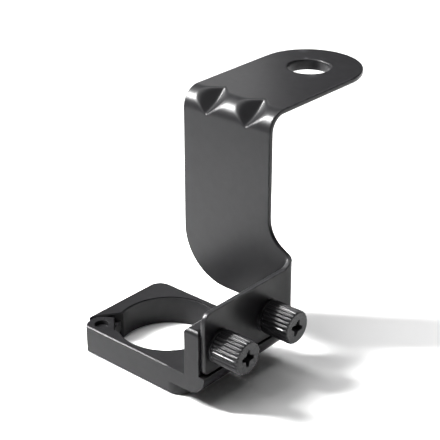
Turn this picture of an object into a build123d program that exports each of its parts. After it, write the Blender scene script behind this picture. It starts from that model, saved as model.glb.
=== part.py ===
from build123d import *
import os
from math import acos, atan2, cos, degrees, radians, sin, sqrt, tan

# A bicycle phone mount. A hinged, two-part collar closes round a 28.6 mm tube. A bent sheet bracket
# is held against the collar's side wall by two knurled thumb screws, and ends in a level tab with a
# drawn hole for the phone holder.
#
# Frame: millimetres, +Z up along the collar's bore. The origin is the bore's centre on the collar's
# lower face. The thumb screws point along +X and the tab points along +Y.

# ---- driving dimensions -------------------------------------------------------------------------

bore_radius = 14.3  # 1-1/8 inch tube
collar_height = 8.4
collar_left = -19.2
collar_right = 20.1
collar_half_depth = 16.5
front_right_radius = 5.0
rear_left_radius = 4.0
rear_right_radius = 4.0
edge_chamfer = 0.3

split_y = 2.0  # where the halves meet on the right side
split_gap = 0.4

# Hinge at the front left corner
pin_x = -13.6
pin_y = -12.9
pin_radius = 1.25
pin_head_radius = 2.0
pin_head_height = 0.5
pin_head_recess = 1.1
pin_chamfer = 0.2
running_clearance = 0.05
ear_radius = 4.4  # the front half's ears
ear_corner = (-13.7, -7.7)
ear_foot = (-8.6, -12.7)
ear_end_x = -7.5  # where the ears run into the collar's front wall
tongue_radius = 2.5  # the rear half's tongue
tongue_height = 3.0
side_clearance = 0.3  # between moving faces
cut_offset = 4.9  # flat end of the rear half, from the pin
cut_angle = 144.7  # direction from the pin square to that end
neck_angle = 112.0  # direction of the tongue's neck from the pin

# Side wall that carries the bracket, one piece with the front half
block_left = 15.0
block_bottom = 3.7
block_right = 28.1
block_round = 5.6
ledge_height = 9.6
wall_left = 21.2
wall_right = 26.2
wall_top = 22.8
wall_round = 1.6
wall_gap = 0.5  # between the side wall and the rear half

# Lug of the rear half, drawn in by the far screw through a tapped notch that is open to the front
lug_rear = 14.5
lug_top = 21.2
lug_left = 12.4
lug_crest = 1.5
lug_round = 1.5
tube_clearance = 0.5

# Bent sheet bracket
sheet = 1.5
plate_front = -15.7
plate_bottom = 9.9
plate_top = 28.1
plate_front_round = 3.0
plate_bottom_round = 1.6
plate_slope_foot = 17.4  # where the plate's top edge starts to climb to the arm
foot_step = 2.6
arm_join = 46.0  # height where the foot and the top of the arm are put together
arm_left = -12.1
arm_right = 19.0
arm_rear = 21.8
arm_bottom = 12.4
shoulder_radius = 8.5
shoulder_height = 39.1
shoulder_turn = 62.0
side_bend_radius = 2.4
top_bend_radius = 5.8
bracket_top = 70.0
hole_y = 57.2
hole_radius = 6.2
neck_depth = 3.3
neck_wall = 1.1
hole_lip = 0.5

# Two V-shaped stiffening dents pressed across the top bend
dent_spacing = 14.2
dent_on_tab = 8.4  # from the arm's face to the dent's tip on the tab
dent_on_arm = 6.0  # from the tab's face to the dent's tip on the arm
dent_flare = 52.0  # half the angle of the V
dent_reach = 9.0  # outward, past the bend
dent_block = 18.0  # the piece of bend that a dent is pressed into
dent_half_width = 6.0

# Thumb screws, M5, and their washers
screw_spread = 20.2
screw_middle_y = 0.15
screw_height = 16.9
screw_radius = 2.45
tapped_radius = 2.5
clearance_radius = 2.75
head_radius = 4.8
head_face = 37.6
flute_count = 26
flute_radius = 0.34
recess_width = 1.1
recess_span = 4.6
recess_depth = 2.4
recess_taper = 8.0
washer_radius = 4.6
washer_height = 0.8
near_screw_tip = 21.6
far_screw_tip = 16.4
tip_chamfer = 0.5

# ---- worked out from them -----------------------------------------------------------------------

plate_left = wall_right
plate_right = plate_left + sheet
arm_front = arm_rear - sheet
arm_middle_x = (arm_left + arm_right) / 2
arm_half_width = (arm_right - arm_left) / 2
tongue_bottom = (collar_height - tongue_height) / 2
tongue_top = tongue_bottom + tongue_height
slot_bottom = tongue_bottom - side_clearance
slot_top = tongue_top + side_clearance
near_screw_y = screw_middle_y - screw_spread / 2
far_screw_y = screw_middle_y + screw_spread / 2
washer_face = plate_right + washer_height
head_base = collar_height - pin_head_recess - pin_head_height
pin_end = 0.2
cut_reach = 12.3
neck_reach = 8.0
ear_reach = sqrt((ear_corner[0] - pin_x) ** 2 + (ear_corner[1] - pin_y) ** 2)
ear_angle = degrees(atan2(ear_corner[1] - pin_y, ear_corner[0] - pin_x))
ear_tangent_angle = ear_angle + degrees(acos(ear_radius / ear_reach))
shoulder_head = (arm_right, shoulder_height)
shoulder_foot = (
    arm_right + shoulder_radius * (1 - cos(radians(shoulder_turn))),
    shoulder_height - shoulder_radius * sin(radians(shoulder_turn)),
)
shoulder_drop = 1 / tan(radians(shoulder_turn))
dent_back = sheet / sin(radians(dent_flare))
dent_plane = Plane(
    origin=(0, arm_front + dent_on_tab / 2, bracket_top - dent_on_arm / 2),
    x_dir=(1, 0, 0),
    z_dir=(0, -dent_on_tab, -dent_on_arm),
)
far = 60.0  # beyond every part of the collar


def from_pin(distance, angle, sideways=0.0):
    """The point at a distance from the hinge pin in a direction, then sideways to the right of it."""
    a = radians(angle)
    return (
        pin_x + distance * cos(a) + sideways * sin(a),
        pin_y + distance * sin(a) - sideways * cos(a),
    )


# ---- collar, front half -------------------------------------------------------------------------

with BuildSketch(mode=Mode.PRIVATE) as collar_plan:
    with BuildLine():
        Polyline(
            (collar_left, -collar_half_depth),
            (collar_right, -collar_half_depth),
            (collar_right, collar_half_depth),
            (collar_left, collar_half_depth),
            close=True,
        )
    make_face()
    fillet(collar_plan.vertices().group_by(Axis.X)[-1].sort_by(Axis.Y)[0], front_right_radius)
    fillet(collar_plan.vertices().group_by(Axis.X)[-1].sort_by(Axis.Y)[-1], rear_right_radius)
    fillet(collar_plan.vertices().group_by(Axis.X)[0].sort_by(Axis.Y)[-1], rear_left_radius)

with BuildPart() as front_half:
    # The collar's front wall and the two ears' outline
    with BuildSketch():
        add(collar_plan.sketch)
        with BuildLine():
            Polyline(
                (ear_end_x, -far),
                (ear_end_x, split_y - split_gap / 2),
                (far, split_y - split_gap / 2),
                (far, -far),
                close=True,
            )
        make_face(mode=Mode.INTERSECT)
        with Locations((pin_x, pin_y)):
            Circle(ear_radius)
        with BuildLine():
            Polyline(
                ear_corner,
                ear_foot,
                (ear_end_x, -sqrt(bore_radius**2 - ear_end_x**2)),
                (ear_end_x, -collar_half_depth),
                (pin_x, -collar_half_depth),
                (pin_x, pin_y),
                from_pin(ear_radius, ear_tangent_angle),
                close=True,
            )
        make_face()
        with BuildLine():
            Polyline(ear_corner, ear_foot, (0, 0), (ear_corner[0], 0), close=True)
        make_face(mode=Mode.SUBTRACT)
        with BuildLine():
            Polyline(
                (-far, -collar_half_depth),
                (far, -collar_half_depth),
                (far, far),
                (-far, far),
                close=True,
            )
        make_face(mode=Mode.INTERSECT)
        Circle(bore_radius, mode=Mode.SUBTRACT)
    extrude(amount=collar_height)
    rims = front_half.edges().group_by(Axis.Z)
    chamfer(rims[0] + rims[-1], edge_chamfer)

    # Slot between the ears for the rear half's tongue
    with BuildSketch(Plane.XY.offset(slot_bottom)):
        with Locations((pin_x, pin_y)):
            Circle(tongue_radius + side_clearance)
        with BuildLine():
            Polyline(
                from_pin(0, neck_angle, tongue_radius + side_clearance),
                from_pin(far, neck_angle, tongue_radius + side_clearance),
                (-far, far),
                (-far, pin_y - tongue_radius - side_clearance),
                (pin_x, pin_y - tongue_radius - side_clearance),
                close=True,
            )
        make_face()
    extrude(amount=slot_top - slot_bottom, mode=Mode.SUBTRACT)
    with Locations((pin_x, pin_y, collar_height)):
        CounterBoreHole(
            radius=pin_radius,
            counter_bore_radius=pin_head_radius + running_clearance,
            counter_bore_depth=pin_head_height + pin_head_recess,
        )

    # Side wall and its ledge, a profile run along the collar's whole depth
    with BuildSketch(Plane.XZ.offset(collar_half_depth)):
        with BuildLine():
            round_start = (block_right - block_round, block_bottom)
            round_end = (block_right, block_bottom + block_round)
            Line((block_left, block_bottom), round_start)
            RadiusArc(round_start, round_end, -block_round)
            Polyline(
                round_end,
                (block_right, ledge_height),
                (wall_right, ledge_height),
                (wall_right, wall_top),
                (wall_left, wall_top),
                (wall_left, collar_height),
                (block_left, collar_height),
                (block_left, block_bottom),
            )
        make_face()
    extrude(amount=-2 * collar_half_depth)
    with BuildSketch(Plane.XY):
        with BuildLine():
            Polyline(
                (0, split_y - split_gap / 2),
                (collar_right + wall_gap, split_y - split_gap / 2),
                (collar_right + wall_gap, far),
                (0, far),
                close=True,
            )
        make_face()
    extrude(amount=far, mode=Mode.SUBTRACT)
    wall_rim = front_half.faces().sort_by(Axis.Z)[-1].edges()
    fillet(wall_rim, wall_round)

    # Tapped hole for the near screw, clearance hole for the far one
    with BuildSketch(Plane.YZ.offset(wall_left - 1)):
        with Locations((near_screw_y, screw_height)):
            Circle(tapped_radius)
        with Locations((far_screw_y, screw_height)):
            Circle(clearance_radius)
    extrude(amount=wall_right - wall_left + 2, mode=Mode.SUBTRACT)

front_half.part.label = "front_clamp_half"


# ---- collar, rear half --------------------------------------------------------------------------

with BuildPart() as rear_half:
    with BuildSketch():
        add(collar_plan.sketch)
        with BuildLine():
            Polyline(
                from_pin(cut_offset, cut_angle, -far),
                from_pin(cut_offset, cut_angle, cut_reach),
                (0, 0),
                (0, split_y + split_gap / 2),
                (far, split_y + split_gap / 2),
                (far, -far),
                close=True,
            )
        make_face(mode=Mode.SUBTRACT)
        Circle(bore_radius, mode=Mode.SUBTRACT)
    extrude(amount=collar_height)
    rims = rear_half.edges().group_by(Axis.Z)
    chamfer(rims[0] + rims[-1], edge_chamfer)

    # Tongue round the hinge pin
    with BuildSketch(Plane.XY.offset(tongue_bottom)):
        with Locations((pin_x, pin_y)):
            Circle(tongue_radius)
        with BuildLine():
            Polyline(
                from_pin(0, neck_angle, -tongue_radius),
                from_pin(neck_reach, neck_angle, -tongue_radius),
                from_pin(neck_reach, neck_angle, tongue_radius),
                from_pin(0, neck_angle, tongue_radius),
                close=True,
            )
        make_face()
        with Locations((pin_x, pin_y)):
            Circle(pin_radius + running_clearance, mode=Mode.SUBTRACT)
    extrude(amount=tongue_height)

    # Lug beside the side wall, sloped on the tube's side
    with BuildSketch(Plane.XZ.offset(-far_screw_y)):
        with BuildLine():
            Polyline(
                (lug_left, collar_height - 2 * edge_chamfer),
                (collar_right, collar_height - 2 * edge_chamfer),
                (collar_right, lug_top),
                (collar_right - lug_crest, lug_top),
                (lug_left, lug_top - (collar_right - lug_crest - lug_left)),
                close=True,
            )
        make_face()
    extrude(amount=far_screw_y - lug_rear)
    with BuildSketch():
        Circle(bore_radius)
    extrude(amount=far, mode=Mode.SUBTRACT)
    with BuildSketch(Plane.XY.offset(collar_height - edge_chamfer)):
        Circle(bore_radius + tube_clearance)
    extrude(amount=far, mode=Mode.SUBTRACT)
    fillet(rear_half.edges().filter_by(Axis.X).group_by(Axis.Z)[-1], lug_round)

    # Tapped notch, half round, for the far screw
    with BuildSketch(Plane.YZ):
        with Locations((far_screw_y, screw_height)):
            Circle(tapped_radius)
    extrude(amount=far, mode=Mode.SUBTRACT)

rear_half.part.label = "rear_clamp_half"


# ---- hinge pin ----------------------------------------------------------------------------------

with BuildPart() as hinge_pin:
    with BuildSketch(Plane.XY.offset(pin_end)):
        with Locations((pin_x, pin_y)):
            Circle(pin_radius)
    extrude(amount=head_base - pin_end)
    with BuildSketch(Plane.XY.offset(head_base)):
        with Locations((pin_x, pin_y)):
            Circle(pin_head_radius)
    extrude(amount=pin_head_height)
    chamfer(hinge_pin.edges().group_by(Axis.Z)[-1], pin_chamfer)
    chamfer(hinge_pin.edges().group_by(Axis.Z)[0], pin_chamfer)

hinge_pin.part.label = "hinge_pin"


# ---- sheet bracket ------------------------------------------------------------------------------

with BuildPart() as corner:
    # The side plate and the foot of the arm, one bend apart, as a plan section
    with BuildSketch(Plane.XY.offset(plate_bottom)):
        with BuildLine():
            FilletPolyline(
                (plate_right, plate_front),
                (plate_right, arm_rear),
                (arm_left, arm_rear),
                radius=side_bend_radius,
            )
            offset(amount=sheet, side=Side.LEFT)
        make_face()
    extrude(amount=arm_join - plate_bottom)

    # Front view outline: round foot, straight right edge, shoulder down to the plate
    with BuildSketch(Plane.XZ):
        with BuildLine():
            foot_left = (arm_left, arm_bottom + arm_half_width)
            foot_right = (arm_middle_x, arm_bottom)
            RadiusArc(foot_left, foot_right, -arm_half_width)
            Polyline(
                foot_right,
                (plate_left - foot_step, arm_bottom),
                (plate_left, plate_bottom),
                (plate_right, plate_bottom),
                (plate_right, shoulder_foot[1] - shoulder_drop * (plate_right - shoulder_foot[0])),
                shoulder_foot,
            )
            RadiusArc(shoulder_foot, shoulder_head, shoulder_radius)
            Polyline(shoulder_head, (arm_right, arm_join), (arm_left, arm_join), foot_left)
        make_face()
    extrude(amount=far, both=True, mode=Mode.INTERSECT)

    # Side view outline of the plate
    with BuildSketch(Plane.YZ):
        with BuildLine():
            Polyline(
                (plate_front, plate_bottom),
                (arm_rear, plate_bottom),
                (arm_rear, arm_join),
                (arm_front, arm_join),
                (arm_front, plate_top + shoulder_drop * (arm_front - plate_slope_foot)),
                (plate_slope_foot, plate_top),
                (plate_front, plate_top),
                close=True,
            )
        make_face()
    extrude(amount=far, both=True, mode=Mode.INTERSECT)

with BuildPart() as dent_groove:
    with BuildSketch(dent_plane):
        with BuildLine():
            Polyline(
                (0, 0),
                (dent_reach * tan(radians(dent_flare)), dent_reach),
                (-dent_reach * tan(radians(dent_flare)), dent_reach),
                close=True,
            )
        make_face()
    extrude(amount=dent_block, both=True)

with BuildPart() as dent_rib:
    # The bend filled solid, cut to the V one sheet thickness further in
    with BuildSketch(Plane.YZ):
        with BuildLine():
            bend_foot = (arm_front, bracket_top - top_bend_radius)
            bend_head = (arm_front + top_bend_radius, bracket_top)
            RadiusArc(bend_foot, bend_head, top_bend_radius)
            Polyline(
                bend_head,
                (arm_front + dent_block, bracket_top),
                (arm_front + dent_block, bracket_top - dent_block),
                (arm_front, bracket_top - dent_block),
                bend_foot,
            )
        make_face()
    extrude(amount=dent_half_width, both=True)
    with BuildSketch(dent_plane):
        with BuildLine():
            Polyline(
                (0, -dent_back),
                ((dent_reach + dent_back) * tan(radians(dent_flare)), dent_reach),
                (-(dent_reach + dent_back) * tan(radians(dent_flare)), dent_reach),
                close=True,
            )
        make_face()
    extrude(amount=dent_block, both=True, mode=Mode.INTERSECT)

with BuildPart() as bracket:
    # Arm, top bend and tab, then the plan outline's round end
    with BuildSketch(Plane.YZ.offset(arm_middle_x)):
        with BuildLine():
            FilletPolyline(
                (arm_front, arm_join),
                (arm_front, bracket_top),
                (hole_y + arm_half_width, bracket_top),
                radius=top_bend_radius,
            )
            offset(amount=sheet, side=Side.RIGHT)
        make_face()
    extrude(amount=arm_half_width, both=True)
    with BuildSketch():
        with Locations((arm_middle_x, hole_y)):
            Circle(arm_half_width)
        with Locations((arm_middle_x, hole_y / 2)):
            Rectangle(2 * arm_half_width, hole_y)
    extrude(amount=2 * bracket_top, mode=Mode.INTERSECT)
    add(corner.part)

    # Stiffening dents
    dents = GridLocations(dent_spacing, 1, 2, 1)
    with Locations((arm_middle_x, 0, 0)):
        with dents:
            add(dent_rib.part)
    with Locations((arm_middle_x, 0, 0)):
        with dents:
            add(dent_groove.part, mode=Mode.SUBTRACT)

    # Drawn hole in the tab
    with BuildSketch(Plane.XY.offset(bracket_top - neck_depth)):
        with Locations((arm_middle_x, hole_y)):
            Circle(hole_radius + neck_wall)
    extrude(amount=neck_depth - sheet / 2)
    with Locations((arm_middle_x, hole_y, bracket_top)):
        Hole(hole_radius, depth=neck_depth)
    hole_rim = bracket.edges().filter_by(GeomType.CIRCLE).group_by(Axis.Z)[-1]
    fillet(hole_rim.filter_by(lambda rim: abs(rim.radius - hole_radius) < 0.01), hole_lip)

    # Screw holes and the plate's rounded front corners
    with BuildSketch(Plane.YZ.offset(plate_left - 1)):
        with Locations((near_screw_y, screw_height), (far_screw_y, screw_height)):
            Circle(clearance_radius)
    extrude(amount=sheet + 2, mode=Mode.SUBTRACT)
    plate_corners = bracket.edges().filter_by(Axis.X).group_by(Axis.Y)[0].sort_by(Axis.Z)
    fillet(plate_corners[-1], plate_front_round)
    fillet(bracket.edges().filter_by(Axis.X).group_by(Axis.Y)[0].sort_by(Axis.Z)[0], plate_bottom_round)

bracket.part.label = "bracket"


# ---- thumb screws and washers -------------------------------------------------------------------


def thumb_screw(screw_y, tip):
    """A knurled thumb screw on its axis along X, from its tip to its crossed face."""
    with BuildPart() as screw:
        with BuildSketch(Plane.YZ.offset(washer_face)):
            with Locations((screw_y, screw_height)):
                Circle(head_radius)
                with PolarLocations(head_radius, flute_count):
                    Circle(flute_radius, mode=Mode.SUBTRACT)
        extrude(amount=head_face - washer_face)
        with BuildSketch(Plane.YZ.offset(head_face)):
            with Locations((screw_y, screw_height)):
                Rectangle(recess_span, recess_width)
                Rectangle(recess_width, recess_span)
        extrude(amount=-recess_depth, taper=recess_taper, mode=Mode.SUBTRACT)
        with BuildSketch(Plane.YZ.offset(tip)):
            with Locations((screw_y, screw_height)):
                Circle(screw_radius)
        extrude(amount=washer_face - tip)
        chamfer(screw.edges().filter_by(GeomType.CIRCLE).group_by(Axis.X)[0], tip_chamfer)
    return screw.part


def washer(screw_y):
    """A flat washer between a thumb screw's head and the plate."""
    with BuildPart() as ring:
        with BuildSketch(Plane.YZ.offset(plate_right)):
            with Locations((screw_y, screw_height)):
                Circle(washer_radius)
                Circle(clearance_radius, mode=Mode.SUBTRACT)
        extrude(amount=washer_height)
    return ring.part


near_screw = thumb_screw(near_screw_y, near_screw_tip)
near_screw.label = "near_thumb_screw"
far_screw = thumb_screw(far_screw_y, far_screw_tip)
far_screw.label = "far_thumb_screw"
near_washer = washer(near_screw_y)
near_washer.label = "near_washer"
far_washer = washer(far_screw_y)
far_washer.label = "far_washer"


# ---- export -------------------------------------------------------------------------------------

os.makedirs("parts", exist_ok=True)
export_step(front_half.part, "parts/front_clamp_half.step")
export_step(rear_half.part, "parts/rear_clamp_half.step")
export_step(hinge_pin.part, "parts/hinge_pin.step")
export_step(bracket.part, "parts/bracket.step")
export_step(near_screw, "parts/near_thumb_screw.step")
export_step(far_screw, "parts/far_thumb_screw.step")
export_step(near_washer, "parts/near_washer.step")
export_step(far_washer, "parts/far_washer.step")
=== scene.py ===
"""A bicycle phone mount on a pale studio floor.

The collar halves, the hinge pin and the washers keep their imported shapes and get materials. The bent
sheet bracket and the two thumb screws are rebuilt with pressed dents, rolled edges and real threads.
Shapes are worked out in millimetres and put into metres when a mesh is made.
"""
from math import cos, hypot, pi, radians, sin, sqrt, tan

import bpy
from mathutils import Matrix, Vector
from mathutils.geometry import delaunay_2d_cdt


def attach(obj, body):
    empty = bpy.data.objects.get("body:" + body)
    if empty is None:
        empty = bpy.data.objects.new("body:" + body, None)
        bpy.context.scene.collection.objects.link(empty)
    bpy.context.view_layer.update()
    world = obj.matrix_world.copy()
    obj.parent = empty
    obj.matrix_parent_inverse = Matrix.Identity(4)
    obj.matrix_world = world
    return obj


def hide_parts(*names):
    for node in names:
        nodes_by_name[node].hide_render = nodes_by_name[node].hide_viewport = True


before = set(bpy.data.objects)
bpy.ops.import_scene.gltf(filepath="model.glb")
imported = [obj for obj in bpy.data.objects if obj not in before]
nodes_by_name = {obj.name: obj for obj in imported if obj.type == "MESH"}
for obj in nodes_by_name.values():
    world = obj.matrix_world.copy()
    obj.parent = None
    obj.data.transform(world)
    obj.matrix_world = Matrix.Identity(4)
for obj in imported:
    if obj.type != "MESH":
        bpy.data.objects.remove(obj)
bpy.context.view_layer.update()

MM = 0.001

# ---- sheet bracket, mm --------------------------------------------------------------------------

SHEET = 1.5
EDGE_ROUND = 0.28

ARM_LEFT = -12.1
ARM_RIGHT = 19.0
ARM_FRONT = 20.3
ARM_BOTTOM = 12.4
ARM_MIDDLE = (ARM_LEFT + ARM_RIGHT) / 2
ARM_HALF = (ARM_RIGHT - ARM_LEFT) / 2

PLATE_LEFT = 26.2
PLATE_FRONT = -15.7
PLATE_BOTTOM = 9.9
PLATE_TOP = 28.1
PLATE_FRONT_ROUND = 3.0
PLATE_BOTTOM_ROUND = 1.6
PLATE_SLOPE_FOOT = 17.4
FOOT_STEP = 2.6

SHOULDER_RADIUS = 8.5
SHOULDER_HEIGHT = 39.1
SHOULDER_TURN = 62.0  # degrees

SIDE_BEND = 2.4  # outside radius of the upright bend between the arm and the plate
TOP_BEND = 5.8  # outside radius of the level bend between the arm and the tab
TAB_TOP = 70.0

TAB_HOLE_Y = 57.2
TAB_HOLE = 6.2
NECK_DEPTH = 3.3
NECK_WALL = 1.1
NECK_LIP = 0.5

DENT_SPACING = 14.2
DENT_ON_TAB = 8.4
DENT_ON_ARM = 6.0
DENT_FLARE = radians(53.0)
DENT_SAG = 0.8  # how far the valley dips below a straight line between its two tips
DENT_VALLEY_ROUND = 0.3
DENT_SHOULDER_ROUND = 0.85
DENT_TIP_ROUND = 0.3

# ---- thumb screws, mm ---------------------------------------------------------------------------

SCREW_HEIGHT = 16.9
NEAR_SCREW_Y = -9.95
FAR_SCREW_Y = 10.25
SCREW_HOLE = 2.75
HEAD_BASE = 28.51
HEAD_FACE = 37.6
HEAD_RADIUS = 4.8
HEAD_CHAMFER = 0.45
HEAD_ROWS = 8
HEAD_CENTRE = 0.02  # radius of the tiny faces that close the ends
FLUTES = 26
FLUTE_DEPTH = 0.42
RECESS_WIDTH = 2.3  # across the arms' roots
RECESS_END = 0.8  # across their ends
RECESS_SPAN = 4.7
RECESS_DEPTH = 2.2
RECESS_SLOPE = 0.25  # sideways per depth of its walls
NEAR_RECESS_TURN = radians(-8.0)
FAR_RECESS_TURN = radians(-20.0)
SHANK_RADIUS = 2.45
THREAD_DEPTH = 0.42
THREAD_PITCH = 0.8
THREAD_STEP = 0.1  # between rows of corners along the thread
THREAD_RUN_IN = 0.7  # length over which the tip grows to the full thread
TIP_EASE = 0.3  # how far the tip starts inside the thread's root
NEAR_TIP = 21.6
FAR_TIP = 16.4

# ---- the bracket's flat blank -------------------------------------------------------------------

# The blank is laid out flat: s runs along the arm from left to right and on round the upright bend
# to the plate's front edge; t runs up the arm and on round the level bend to the tab's end. Face A is
# the arm's front and the tab's top, and depth is measured from it towards face B.
SIDE_CENTRE = (PLATE_LEFT + SHEET - SIDE_BEND, ARM_FRONT + SHEET - SIDE_BEND)
SIDE_NEUTRAL = SIDE_BEND - SHEET / 2
SIDE_START = SIDE_CENTRE[0]
SIDE_END = SIDE_START + SIDE_NEUTRAL * pi / 2
TOP_CENTRE = (ARM_FRONT + TOP_BEND, TAB_TOP - TOP_BEND)
TOP_NEUTRAL = TOP_BEND - SHEET / 2
TOP_START = TOP_CENTRE[1]
TOP_END = TOP_START + TOP_NEUTRAL * pi / 2


def fold(s, t, depth):
    """The place of a blank point at a depth below face A, in mm."""
    if s <= SIDE_START:
        x, y = s, ARM_FRONT + depth
    elif s < SIDE_END:
        turn = (s - SIDE_START) / SIDE_NEUTRAL
        r = SIDE_BEND - SHEET + depth
        x, y = SIDE_CENTRE[0] + r * sin(turn), SIDE_CENTRE[1] + r * cos(turn)
    else:
        x, y = PLATE_LEFT + depth, SIDE_CENTRE[1] - (s - SIDE_END)
    if t <= TOP_START:
        return Vector((x, y, t))
    if t < TOP_END:
        turn = (t - TOP_START) / TOP_NEUTRAL
        r = TOP_BEND - depth
        return Vector((x, TOP_CENTRE[0] - r * cos(turn), TOP_CENTRE[1] + r * sin(turn)))
    return Vector((x, TOP_CENTRE[0] + t - TOP_END, TAB_TOP - depth))


DENT_LENGTH = hypot(DENT_ON_TAB, DENT_ON_ARM)
DENT_OUTWARD = Vector((0, -DENT_ON_ARM / DENT_LENGTH, DENT_ON_TAB / DENT_LENGTH))
DENT_ALONG = Vector((0, DENT_ON_TAB / DENT_LENGTH, DENT_ON_ARM / DENT_LENGTH))
DENT_TIP = Vector((0, ARM_FRONT + DENT_ON_TAB, TAB_TOP))


def smooth_min(a, b, width):
    """The smaller of two values, blended where they are closer than a width."""
    blend = max(0.0, 1 - abs(a - b) / width)
    return min(a, b) - width * blend * blend / 4


def pressed(s, t, depth):
    """The folded place of a blank point, with the two dents pressed in."""
    place = fold(s, t, depth)
    if not TOP_START - DENT_ON_ARM < t < TOP_END + DENT_ON_TAB or s > ARM_RIGHT + 1:
        return place
    offset = fold(s, t, 0) - DENT_TIP
    height = offset.dot(DENT_OUTWARD)
    along = min(1.0, max(0.0, -offset.dot(DENT_ALONG) / DENT_LENGTH))
    across = min(abs(s - ARM_MIDDLE - DENT_SPACING / 2), abs(s - ARM_MIDDLE + DENT_SPACING / 2))
    rounded = sqrt(across**2 + DENT_VALLEY_ROUND**2)
    valley = rounded / tan(DENT_FLARE) - DENT_SAG * sin(pi * along)
    ease = DENT_TIP_ROUND + (DENT_SHOULDER_ROUND - DENT_TIP_ROUND) * sin(pi * along)
    return place + (smooth_min(height, valley, ease) - height) * DENT_OUTWARD


def arc(centre, radius, start, end, step=6.0):
    """Points along an arc, both ends included; the angles are in degrees."""
    count = max(2, round(abs(end - start) / step))
    angles = [radians(start + (end - start) * i / count) for i in range(count + 1)]
    return [(centre[0] + radius * cos(a), centre[1] + radius * sin(a)) for a in angles]


def plate_s(y):
    """The blank's s of a place on the plate."""
    return SIDE_END + SIDE_CENTRE[1] - y


FINE_ARC = 3.0  # degrees between points on the sheet's round ends
CORNER_ARC = 15.0  # and on the plate's small corners
BORDER_STEP = 0.8  # mm between points on a straight run of the border

HOLE_T = TOP_END + TAB_HOLE_Y - TOP_CENTRE[0]
PLATE_END = plate_s(PLATE_FRONT)
UPPER_CORNER = (PLATE_END - PLATE_FRONT_ROUND, PLATE_TOP - PLATE_FRONT_ROUND)
LOWER_CORNER = (PLATE_END - PLATE_BOTTOM_ROUND, PLATE_BOTTOM + PLATE_BOTTOM_ROUND)
SHOULDER_CENTRE = (ARM_RIGHT + SHOULDER_RADIUS, SHOULDER_HEIGHT)
OUTLINE_CORNERS = (
    arc((ARM_MIDDLE, HOLE_T), ARM_HALF, 180, 0, FINE_ARC)
    + arc(SHOULDER_CENTRE, SHOULDER_RADIUS, 180, 180 + SHOULDER_TURN)
    + [(plate_s(PLATE_SLOPE_FOOT), PLATE_TOP)]
    + arc(UPPER_CORNER, PLATE_FRONT_ROUND, 90, 0, CORNER_ARC)
    + arc(LOWER_CORNER, PLATE_BOTTOM_ROUND, 0, -90, CORNER_ARC)
    + [(SIDE_END, PLATE_BOTTOM), (PLATE_LEFT - FOOT_STEP, ARM_BOTTOM)]
    + arc((ARM_MIDDLE, ARM_BOTTOM + ARM_HALF), ARM_HALF, 270, 180, FINE_ARC)
)

BLANK_STEP = 1.6  # between inner points on flat stretches
FINE_STEP = 0.4  # and where the sheet bends
BLANK_GAP = 0.8  # least distance from an inner point to the border on flat stretches
FINE_GAP = 0.3  # and where the sheet bends
FINE_MARGIN = 1.0
EDGE_STEPS = 3


def even(points, spacing):
    """A closed loop with its long straight runs split into even steps."""
    loop = []
    for i, a in enumerate(points):
        b = points[(i + 1) % len(points)]
        span = hypot(b[0] - a[0], b[1] - a[1])
        if span < 1e-4:
            continue
        count = max(1, round(span / spacing))
        for k in range(count):
            loop.append((a[0] + (b[0] - a[0]) * k / count, a[1] + (b[1] - a[1]) * k / count))
    return loop


def inset(loop, distance):
    """A loop moved to its left by a distance, corners mitred."""
    moved = []
    for i, p in enumerate(loop):
        before = Vector(p) - Vector(loop[i - 1])
        after = Vector(loop[(i + 1) % len(loop)]) - Vector(p)
        before.normalize()
        after.normalize()
        normal = Vector((-(before.y + after.y), before.x + after.x)).normalized()
        side = Vector((-before.y, before.x))
        moved.append(tuple(Vector(p) + normal * distance / max(0.4, normal.dot(side))))
    return moved


def clockwise(loop):
    """The loop in clockwise order."""
    area = sum(loop[i - 1][0] * p[1] - p[0] * loop[i - 1][1] for i, p in enumerate(loop))
    return loop if area < 0 else loop[::-1]


def inside(point, loop):
    """Whether a point lies within a loop."""
    hit = False
    for i, b in enumerate(loop):
        a = loop[i - 1]
        if (a[1] > point[1]) != (b[1] > point[1]):
            if point[0] < a[0] + (b[0] - a[0]) * (point[1] - a[1]) / (b[1] - a[1]):
                hit = not hit
    return hit


def nearest(point, loop):
    """The distance from a point to the nearest corner of a loop."""
    return min(hypot(point[0] - q[0], point[1] - q[1]) for q in loop)


def blank_points(outline, holes):
    """Inner points of the blank: close together where it bends or is pressed, sparse elsewhere."""
    fine_low = TOP_START - DENT_ON_ARM - FINE_MARGIN
    fine_high = TOP_END + DENT_ON_TAB + FINE_MARGIN
    points = []
    rows = []
    t = PLATE_BOTTOM
    while t < HOLE_T + ARM_HALF:
        rows.append(t)
        t += FINE_STEP if fine_low < t < fine_high else BLANK_STEP
    for t in rows:
        s = ARM_LEFT
        while s < PLATE_END:
            points.append((s, t))
            bends = fine_low < t < fine_high or SIDE_START - FINE_MARGIN / 2 < s < SIDE_END
            s += FINE_STEP if bends else BLANK_STEP
    kept = []
    for p in points:
        if not inside(p, outline) or any(inside(p, hole) for hole in holes):
            continue
        gap = FINE_GAP if fine_low < p[1] < fine_high or SIDE_START < p[0] < SIDE_END else BLANK_GAP
        if min(nearest(p, loop) for loop in [outline] + holes) > gap:
            kept.append(p)
    return kept


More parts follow.
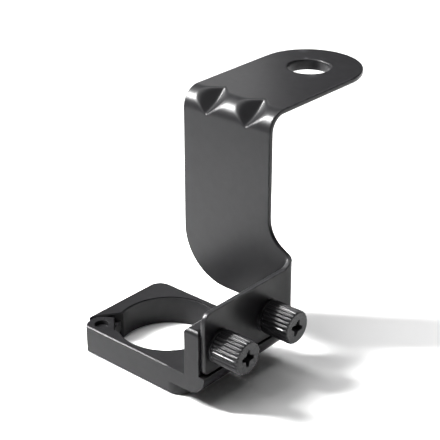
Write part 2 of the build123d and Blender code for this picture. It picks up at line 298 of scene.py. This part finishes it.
def face_mesh(outline, holes, rings):
    """Corners and triangles of one face of the blank, with the border loops first and the rings next."""
    loops = [outline] + holes
    corners = [p for loop in loops for p in loop]
    borders = []
    start = 0
    for loop in loops:
        borders += [(start + i, start + (i + 1) % len(loop)) for i in range(len(loop))]
        start += len(loop)
    fixed = len(corners)
    corners += rings + blank_points(outline, holes)
    result = delaunay_2d_cdt([Vector(p) for p in corners], borders, [], 0, 1e-5, True)
    made, triangles, origins = result[0], result[2], result[3]
    home = {}
    for index, sources in enumerate(origins):
        for source in sources:
            home[source] = index
    assert all(home[i] == i for i in range(fixed)), "a border corner was merged"
    kept = []
    for tri in triangles:
        middle = sum((made[i] for i in tri), Vector((0, 0))) / 3
        if inside(middle, outline) and not any(inside(middle, hole) for hole in holes):
            kept.append(tri)
    return made, kept


def new_mesh(name, verts, faces):
    """An object from corners in mm, smooth shaded, with its faces turned outwards."""
    mesh = bpy.data.meshes.new(name)
    mesh.from_pydata([tuple(Vector(v) * MM) for v in verts], [], faces)
    mesh.polygons.foreach_set("use_smooth", [True] * len(mesh.polygons))
    mesh.update()
    obj = bpy.data.objects.new(name, mesh)
    bpy.context.scene.collection.objects.link(obj)
    bpy.context.view_layer.objects.active = obj
    bpy.ops.object.select_all(action="DESELECT")
    obj.select_set(True)
    bpy.ops.object.mode_set(mode="EDIT")
    bpy.ops.mesh.select_all(action="SELECT")
    bpy.ops.mesh.remove_doubles(threshold=1e-7)
    bpy.ops.mesh.normals_make_consistent(inside=False)
    bpy.ops.object.mode_set(mode="OBJECT")
    return obj


def ring_of(centre, radius, count):
    """A clockwise ring of blank points."""
    return [
        (centre[0] + radius * cos(-2 * pi * i / count), centre[1] + radius * sin(-2 * pi * i / count))
        for i in range(count)
    ]


def build_bracket():
    """The bent sheet bracket as one closed mesh."""
    outline = clockwise(even(OUTLINE_CORNERS, BORDER_STEP))[::-1]  # its left is inwards, as inset needs
    tab_hole = (ARM_MIDDLE, HOLE_T)
    screw_holes = [(plate_s(NEAR_SCREW_Y), SCREW_HEIGHT), (plate_s(FAR_SCREW_Y), SCREW_HEIGHT)]
    hole_count = 96
    screw_count = 40
    lip_top = TAB_HOLE + NECK_LIP
    lip_under = TAB_HOLE + NECK_WALL + NECK_LIP

    faces = []
    verts = []
    border = inset(outline, EDGE_ROUND)
    guard_gap = 0.2
    shoulder = inset(outline, EDGE_ROUND + guard_gap)
    bases = []
    for depth, hole_edge in ((0.0, lip_top), (SHEET, lip_under)):
        holes = [ring_of(tab_hole, hole_edge, hole_count)]
        holes += [ring_of(c, SCREW_HOLE + EDGE_ROUND, screw_count) for c in screw_holes]
        guard = shoulder + ring_of(tab_hole, hole_edge + NECK_LIP / 2, hole_count)
        made, triangles = face_mesh(border, holes, guard)
        base = len(verts)
        bases.append(base)
        verts += [pressed(p.x, p.y, depth) for p in made]
        faces += [tuple(base + i for i in tri) for tri in triangles]
    first, second = bases

    def loop_rows(toward, top_row, bottom_row):
        """Rows of corners round a cut edge, from face A's border to face B's."""
        rows = []
        for step in range(1, EDGE_STEPS):
            turn = pi / 2 * step / EDGE_STEPS
            offset, depth = EDGE_ROUND * (1 - sin(turn)), EDGE_ROUND * (1 - cos(turn))
            rows.append((offset, depth))
        rows += [(0.0, EDGE_ROUND), (0.0, SHEET / 2), (0.0, SHEET - EDGE_ROUND)]
        for step in range(1, EDGE_STEPS):
            turn = pi / 2 * step / EDGE_STEPS
            rows.append((EDGE_ROUND * (1 - cos(turn)), SHEET - EDGE_ROUND * (1 - sin(turn))))
        indices = [top_row]
        for offset, depth in rows:
            points = toward(offset)
            indices.append(range(len(verts), len(verts) + len(points)))
            verts.extend(pressed(p[0], p[1], depth) for p in points)
        indices.append(bottom_row)
        return indices

    def skin(rows):
        """Quads between each closed row of corners and the next."""
        for upper, lower in zip(rows, rows[1:]):
            count = len(upper)
            for i in range(count):
                j = (i + 1) % count
                faces.append((upper[i], upper[j], lower[j], lower[i]))

    count = len(border)
    top = range(first, first + count)
    bottom = range(second, second + count)
    skin(loop_rows(lambda offset: inset(outline, offset) if offset else outline, top, bottom))

    start = count + hole_count
    for c in screw_holes:
        top = range(first + start, first + start + screw_count)
        bottom = range(second + start, second + start + screw_count)
        skin(loop_rows(lambda offset, c=c: ring_of(c, SCREW_HOLE + offset, screw_count), top, bottom))
        start += screw_count

    # Drawn neck: over the lip, down the bore, round its end and back up to the tab's underside
    profile = []
    for angle in (75, 60, 45, 30, 15, 0):
        a = radians(angle)
        profile.append((lip_top - NECK_LIP * cos(a), NECK_LIP * (1 - sin(a))))
    end_round = 0.2
    end_corner = 0.06  # how far the round of the neck's end stays off its sharp corner
    outer = TAB_HOLE + NECK_WALL
    profile += [(TAB_HOLE, 1.2), (TAB_HOLE, 2.2), (TAB_HOLE, NECK_DEPTH - end_round)]
    profile += [(TAB_HOLE + end_corner, NECK_DEPTH - end_corner), (TAB_HOLE + end_round, NECK_DEPTH)]
    profile += [(outer - end_round, NECK_DEPTH), (outer - end_corner, NECK_DEPTH - end_corner)]
    profile.append((outer, NECK_DEPTH - end_round))
    for angle in (0, 20, 40, 60, 75):
        a = radians(angle)
        profile.append((lip_under - NECK_LIP * cos(a), SHEET + NECK_LIP * (1 - sin(a))))
    rows = [range(first + count, first + count + hole_count)]
    for radius, depth in profile:
        rows.append(range(len(verts), len(verts) + hole_count))
        for s, t in ring_of(tab_hole, radius, hole_count):
            verts.append(fold(s, t, 0) - Vector((0, 0, depth)))
    rows.append(range(second + count, second + count + hole_count))
    skin(rows)
    return new_mesh("bent_bracket", verts, faces)


def build_thumb_screw(name, screw_y, tip, recess_turn):
    """A knurled head with a cross recess and a shank with a real thread, on an axis along X."""
    segments = FLUTES * 8
    verts = []
    faces = []
    rows = []

    def row(x_of, radius_of):
        """One more closed row of corners round the screw's axis."""
        rows.append(range(len(verts), len(verts) + segments))
        for i in range(segments):
            a = 2 * pi * i / segments
            r = radius_of(a)
            verts.append((x_of(a, r), screw_y + r * cos(a), SCREW_HEIGHT + r * sin(a)))

    def fluted(limit):
        """Radius round the knurl: sharp ridges between rounded grooves, held within a limit."""
        def radius(a):
            groove = abs(cos(FLUTES * a / 2))
            return min(limit, HEAD_RADIUS - FLUTE_DEPTH * groove**1.3)
        return radius

    def recess(a, r):
        """How deep the cross recess is at a place on the head's face."""
        u, v = abs(r * cos(a - recess_turn)), abs(r * sin(a - recess_turn))
        u, v = max(u, v), min(u, v)
        along = min(1.0, 2 * u / RECESS_SPAN)
        half_width = (RECESS_WIDTH + (RECESS_END - RECESS_WIDTH) * along) / 2
        wall = min(RECESS_SPAN / 2 - u, half_width - v) / RECESS_SLOPE
        return max(0.0, min(RECESS_DEPTH, wall))

    # Shank, from the tip up, with a helical thread
    row(lambda a, r: tip, lambda a: HEAD_CENTRE)
    row(lambda a, r: tip, lambda a: SHANK_RADIUS - THREAD_DEPTH - TIP_EASE - 0.05)
    length = HEAD_BASE - tip
    steps = int(length / THREAD_STEP)
    for k in range(steps + 1):
        x = tip + length * k / steps
        run_in = min(1.0, (x - tip) / THREAD_RUN_IN)

        def threaded(a, x=x, run_in=run_in):
            phase = (x / THREAD_PITCH - a / (2 * pi)) % 1.0
            crest = 1 - abs(2 * phase - 1)
            root = SHANK_RADIUS - THREAD_DEPTH
            full = root + THREAD_DEPTH * min(1.0, max(0.0, crest * 1.35 - 0.12))
            return root - TIP_EASE + (full - root + TIP_EASE) * run_in

        row(lambda a, r, x=x: x, threaded)

    # Head: underside, chamfers, knurl, and a face with the cross pressed in
    inner = HEAD_RADIUS - FLUTE_DEPTH - 0.2
    row(lambda a, r: HEAD_BASE, lambda a: inner)
    under_chamfer = HEAD_CHAMFER * 0.7
    row(lambda a, r: HEAD_BASE, fluted(HEAD_RADIUS - under_chamfer))
    row(lambda a, r: HEAD_BASE + under_chamfer, fluted(HEAD_RADIUS))
    knurl_length = HEAD_FACE - HEAD_CHAMFER - HEAD_BASE - under_chamfer
    for k in range(1, HEAD_ROWS):
        x = HEAD_BASE + under_chamfer + knurl_length * k / HEAD_ROWS
        row(lambda a, r, x=x: x, fluted(HEAD_RADIUS))
    row(lambda a, r: HEAD_FACE - HEAD_CHAMFER, fluted(HEAD_RADIUS))
    row(lambda a, r: HEAD_FACE - HEAD_CHAMFER * 0.4, fluted(HEAD_RADIUS - HEAD_CHAMFER * 0.45))
    row(lambda a, r: HEAD_FACE, fluted(HEAD_RADIUS - HEAD_CHAMFER))
    coarse = 0.3  # between rows on the plain rim of the face
    close = 0.07  # and across the recess
    radius = HEAD_RADIUS - HEAD_CHAMFER - 0.25
    while radius > 0.03:
        row(lambda a, r: HEAD_FACE - recess(a, r), lambda a, radius=radius: radius)
        radius -= coarse if radius > RECESS_SPAN / 2 + 0.35 else close
    row(lambda a, r: HEAD_FACE - RECESS_DEPTH, lambda a: HEAD_CENTRE)
    for lower, upper in zip(rows, rows[1:]):
        for i in range(segments):
            j = (i + 1) % segments
            faces.append((lower[i], lower[j], upper[j], upper[i]))
    faces.append(tuple(rows[0]))
    faces.append(tuple(rows[-1]))
    return new_mesh(name, verts, faces)


bracket = build_bracket()
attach(bracket, "front_clamp")
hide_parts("bracket")

near_screw = build_thumb_screw("near_knurled_screw", NEAR_SCREW_Y, NEAR_TIP, NEAR_RECESS_TURN)
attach(near_screw, "near_screw_body")
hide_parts("near_thumb_screw")

far_screw = build_thumb_screw("far_knurled_screw", FAR_SCREW_Y, FAR_TIP, FAR_RECESS_TURN)
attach(far_screw, "far_screw_body")
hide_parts("far_thumb_screw")

# ---- materials ----------------------------------------------------------------------------------


def grey(value):
    """A dark grey with a slight blue in it."""
    return (value, value * 0.985, value * 1.06, 1.0)


def coated(name, low, high, roughness, grain, grain_bump, specular, edge_wear_and_sheen=0.0, turning=None):
    """A dark coat: mottled tone, uneven gloss, fine grain bump in mm, and lighter sharp edges, partly wear
    and partly a painted edge highlight.
    """
    material = bpy.data.materials.new(name)
    material.use_nodes = True
    nodes, links = material.node_tree.nodes, material.node_tree.links
    shader = nodes["Principled BSDF"]
    shader.inputs["Specular IOR Level"].default_value = specular
    place = nodes.new("ShaderNodeTexCoord")

    mottle = nodes.new("ShaderNodeTexNoise")
    mottle.inputs["Scale"].default_value = 420.0
    mottle.inputs["Detail"].default_value = 6.0
    links.new(place.outputs["Object"], mottle.inputs["Vector"])
    tone = nodes.new("ShaderNodeValToRGB")
    tone.color_ramp.elements[0].position = 0.3
    tone.color_ramp.elements[0].color = grey(low)
    tone.color_ramp.elements[1].position = 0.75
    tone.color_ramp.elements[1].color = grey(high)
    links.new(mottle.outputs["Fac"], tone.inputs["Fac"])
    colour = tone.outputs["Color"]

    # Lighter colour on sharp convex edges: partly wear, partly a painted highlight along the edges.
    if edge_wear_and_sheen:
        geometry = nodes.new("ShaderNodeNewGeometry")
        edge = nodes.new("ShaderNodeValToRGB")
        edge.color_ramp.elements[0].position = 0.52
        edge.color_ramp.elements[1].position = 0.62
        links.new(geometry.outputs["Pointiness"], edge.inputs["Fac"])
        rub_and_sheen_noise = nodes.new("ShaderNodeTexNoise")
        rub_and_sheen_noise.inputs["Scale"].default_value = 700.0
        rub_and_sheen_noise.inputs["Detail"].default_value = 4.0
        links.new(place.outputs["Object"], rub_and_sheen_noise.inputs["Vector"])
        amount = nodes.new("ShaderNodeMath")
        amount.operation = "MULTIPLY"
        links.new(edge.outputs["Color"], amount.inputs[0])
        links.new(rub_and_sheen_noise.outputs["Fac"], amount.inputs[1])
        worn_and_sheen = nodes.new("ShaderNodeMix")
        worn_and_sheen.data_type = "RGBA"
        worn_and_sheen.inputs["B"].default_value = grey(edge_wear_and_sheen)
        links.new(amount.outputs["Value"], worn_and_sheen.inputs["Factor"])
        links.new(colour, worn_and_sheen.inputs["A"])
        colour = worn_and_sheen.outputs["Result"]
    links.new(colour, shader.inputs["Base Color"])

    gloss = nodes.new("ShaderNodeTexNoise")
    gloss.inputs["Scale"].default_value = 600.0
    gloss.inputs["Detail"].default_value = 5.0
    links.new(place.outputs["Object"], gloss.inputs["Vector"])
    spread = nodes.new("ShaderNodeMapRange")
    spread.inputs["To Min"].default_value = roughness - 0.03
    spread.inputs["To Max"].default_value = roughness + 0.04
    links.new(gloss.outputs["Fac"], spread.inputs["Value"])
    links.new(spread.outputs["Result"], shader.inputs["Roughness"])

    speck = nodes.new("ShaderNodeTexNoise")
    speck.inputs["Scale"].default_value = 1 / (grain * MM)
    speck.inputs["Detail"].default_value = 3.0
    links.new(place.outputs["Object"], speck.inputs["Vector"])
    bump = nodes.new("ShaderNodeBump")
    bump.inputs["Strength"].default_value = grain_bump
    bump.inputs["Distance"].default_value = 0.05 * MM
    links.new(speck.outputs["Fac"], bump.inputs["Height"])
    normal = bump.outputs["Normal"]
    if turning:
        lines = nodes.new("ShaderNodeTexWave")
        lines.bands_direction = turning
        lines.inputs["Scale"].default_value = 1400.0
        lines.inputs["Distortion"].default_value = 1.5
        links.new(place.outputs["Object"], lines.inputs["Vector"])
        second = nodes.new("ShaderNodeBump")
        second.inputs["Strength"].default_value = 0.12
        second.inputs["Distance"].default_value = 0.02 * MM
        links.new(lines.outputs["Fac"], second.inputs["Height"])
        links.new(normal, second.inputs["Normal"])
        normal = second.outputs["Normal"]
    links.new(normal, shader.inputs["Normal"])
    return material


# The lighter edge colour on the bracket and on the screws' knurl ridges is partly wear, partly a painted
# edge highlight.
powder = coated("powder_coat", 0.009, 0.012, 0.30, 0.50, 0.1, specular=0.25, edge_wear_and_sheen=0.05)
anodised = coated("anodised", 0.009, 0.012, 0.30, 0.45, 0.1, specular=0.15, turning="Z")
black_steel = coated("black_steel", 0.013, 0.017, 0.15, 0.15, 0.1, specular=0.2, edge_wear_and_sheen=0.045)
pin_steel = coated("pin_steel", 0.008, 0.012, 0.30, 0.15, 0.15, specular=0.3)


def dress(obj, material):
    """One material over a whole piece."""
    obj.data.materials.clear()
    obj.data.materials.append(material)


def ease_edges(obj, width):
    """Small rounds, of a width in mm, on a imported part's sharp edges."""
    weld = obj.modifiers.new("joined_faces", "WELD")
    weld.merge_threshold = 1e-6
    bevel = obj.modifiers.new("eased_edges", "BEVEL")
    bevel.width = width * MM
    bevel.segments = 2
    bevel.limit_method = "ANGLE"
    bevel.angle_limit = radians(32)
    even = obj.modifiers.new("even_normals", "WEIGHTED_NORMAL")
    even.keep_sharp = False


EASE = 0.1
for node in ("front_clamp_half", "rear_clamp_half"):
    dress(nodes_by_name[node], anodised)
    ease_edges(nodes_by_name[node], EASE)
dress(nodes_by_name["hinge_pin"], pin_steel)
for node in ("near_washer", "far_washer"):
    dress(nodes_by_name[node], pin_steel)
    ease_edges(nodes_by_name[node], EASE)
dress(bracket, powder)
dress(near_screw, black_steel)
dress(far_screw, black_steel)

# ---- studio -------------------------------------------------------------------------------------

CAMERA_PLACE = (0.21953, -0.22921, 0.19738)
CAMERA_TARGET = (0.009156, 0.011548, 0.039339)
CAMERA_LENS = 106.92
TOP_BEND_PLACE = (0.0, 0.022, 0.068)
FLOOR_REACH = 3.0
FLOOR_DROP = 0.0002
PAPER_TONE = 0.9


def aim(obj, target):
    """Turn a camera or a light to look at a place."""
    obj.rotation_euler = (Vector(target) - obj.location).to_track_quat("-Z", "Y").to_euler()


camera = bpy.data.objects.new("camera", bpy.data.cameras.new("camera"))
bpy.context.scene.collection.objects.link(camera)
camera.location = CAMERA_PLACE
camera.data.lens = CAMERA_LENS
camera.data.clip_start = 0.01
aim(camera, CAMERA_TARGET)
bpy.context.scene.camera = camera

floor_mesh = bpy.data.meshes.new("studio_floor")
floor_corners = [(x * FLOOR_REACH, y * FLOOR_REACH, 0) for x, y in ((-1, -1), (1, -1), (1, 1), (-1, 1))]
floor_mesh.from_pydata(floor_corners, [], [(0, 1, 2, 3)])
studio_floor = bpy.data.objects.new("studio_floor", floor_mesh)
studio_floor.location.z = -FLOOR_DROP
bpy.context.scene.collection.objects.link(studio_floor)
paper = bpy.data.materials.new("paper")
paper.use_nodes = True
paper_shader = paper.node_tree.nodes["Principled BSDF"]
paper_shader.inputs["Base Color"].default_value = (PAPER_TONE, PAPER_TONE, PAPER_TONE, 1)
paper_shader.inputs["Roughness"].default_value = 0.9
paper_shader.inputs["Specular IOR Level"].default_value = 0.1
studio_floor.data.materials.append(paper)


def softbox(name, place, target, size, power, spread=180.0):
    """A rectangular studio light, with its beam held within a spread in degrees."""
    light = bpy.data.lights.new(name, "AREA")
    light.shape = "RECTANGLE"
    light.size, light.size_y = size
    light.energy = power
    light.spread = radians(spread)
    obj = bpy.data.objects.new(name, light)
    obj.location = place
    aim(obj, target)
    bpy.context.scene.collection.objects.link(obj)


softbox("key_strip", (-0.220, -0.144, 0.298), TOP_BEND_PLACE, (0.05, 0.24), 0.85, spread=60.0)
softbox("key_side", (-0.335, -0.007, 0.198), TOP_BEND_PLACE, (0.08, 0.08), 0.9)
softbox("tab_glow", (-0.14, 0.17, 0.15), (0.0, 0.03, 0.07), (0.06, 0.05), 0.014)
softbox("overhead", (-0.30, -0.20, 0.80), (-0.02, -0.02, 0.0), (0.9, 0.9), 6.5)
softbox("backdrop", (-0.15, 0.36, 0.50), (-0.15, 0.36, 0.0), (0.45, 0.45), 1.0, spread=70.0)

world = bpy.data.worlds.new("studio")
world.use_nodes = True
sky = world.node_tree.nodes["Background"]
sky.inputs["Color"].default_value = (1, 1, 1, 1)
sky.inputs["Strength"].default_value = 0.08
bpy.context.scene.world = world
bpy.context.scene.view_settings.view_transform = "Standard"
